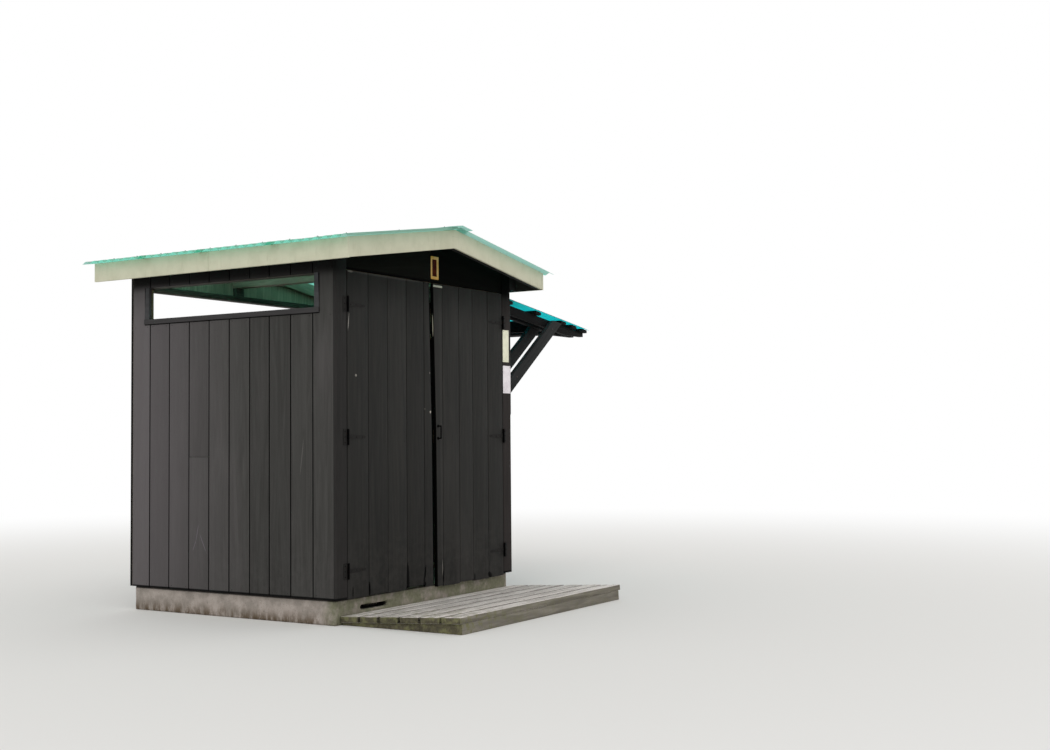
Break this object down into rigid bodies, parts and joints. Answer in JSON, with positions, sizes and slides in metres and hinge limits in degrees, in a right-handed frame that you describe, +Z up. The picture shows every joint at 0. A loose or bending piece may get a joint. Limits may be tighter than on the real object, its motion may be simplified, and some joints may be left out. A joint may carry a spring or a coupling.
{
  "type": "wooden outhouse",
  "caption": "Plank outhouse on a concrete curb with two doors, a low gable roof of translucent corrugated sheet, open windows under the eaves and a braced awning at its side",
  "frame": {"origin": "on the ground, under the middle of the rectangle that the four walls enclose", "axes": "+X runs right along the front wall, seen from in front of the doors, toward the awning; +Y runs from the front wall to the back wall; +Z is up. The doors are on the -Y side."},
  "size_m": [3.4748, 2.9797, 2.5982],
  "materials": {
    "concrete": "matte",
    "translucent_sheet": "satin",
    "cream_paint": "painted",
    "cream_plate": "satin",
    "white_plate": "satin",
    "framed_plate": "painted",
    "weathered_wood": "weathered",
    "hinge_steel": "matte",
    "bare_wood": "raw",
    "dark_boards": "stained",
    "framing_timber": "raw"
  },
  "bodies": {
    "building": {"foundation_curb": "concrete", "floor_slab": "concrete", "sole_plate": "framing_timber", "corner_posts": "framing_timber", "wall_studs": "framing_timber", "wall_rails": "framing_timber", "top_plates": "framing_timber", "door_header": "framing_timber", "back_header": "framing_timber", "left_wall": "dark_boards", "right_wall": "dark_boards", "back_wall": "dark_boards", "left_window_frame": "dark_boards", "back_window_frame": "dark_boards", "front_corner_board_left": "dark_boards", "front_corner_board_right": "dark_boards", "front_header_left": "dark_boards", "front_header_right": "dark_boards", "ridge_beam": "framing_timber", "rafters": "framing_timber", "fly_rafters": "framing_timber", "purlins": "framing_timber", "left_roof_sheet": "translucent_sheet", "right_roof_sheet": "translucent_sheet", "ridge_cap": "translucent_sheet", "left_eave_fascia": "cream_paint", "right_eave_fascia": "cream_paint", "front_rake_fascia": "cream_paint", "back_rake_fascia": "cream_paint", "awning_cleats": "dark_boards", "awning_rafters": "dark_boards", "awning_braces": "dark_boards", "awning_beam": "dark_boards", "awning_battens": "dark_boards", "awning_sheet": "translucent_sheet", "cream_plate": "cream_plate", "white_plate": "white_plate", "gable_plate": "framed_plate", "deck_planks": "weathered_wood", "deck_bearers": "weathered_wood", "hinge_wall_leaves": "hinge_steel"},
    "left_door": {"left_door_boards": "dark_boards", "left_door_battens": "framing_timber", "left_strap_hinges": "hinge_steel"},
    "right_door": {"right_door_boards": "dark_boards", "right_door_battens": "framing_timber", "right_strap_hinges": "hinge_steel", "pull_handle": "hinge_steel", "head_strip": "bare_wood"}
  },
  "joints": [
    {"name": "left_door_hinge", "type": "hinge", "parent": "building", "child": "left_door", "pos_m": [-0.902, -0.923, 1.168], "axis": [0, 0, -1], "range_deg": [0, 100]},
    {"name": "right_door_hinge", "type": "hinge", "parent": "building", "child": "right_door", "pos_m": [0.902, -0.923, 1.168], "axis": [0, 0, 1], "range_deg": [0, 100]}
  ]
}
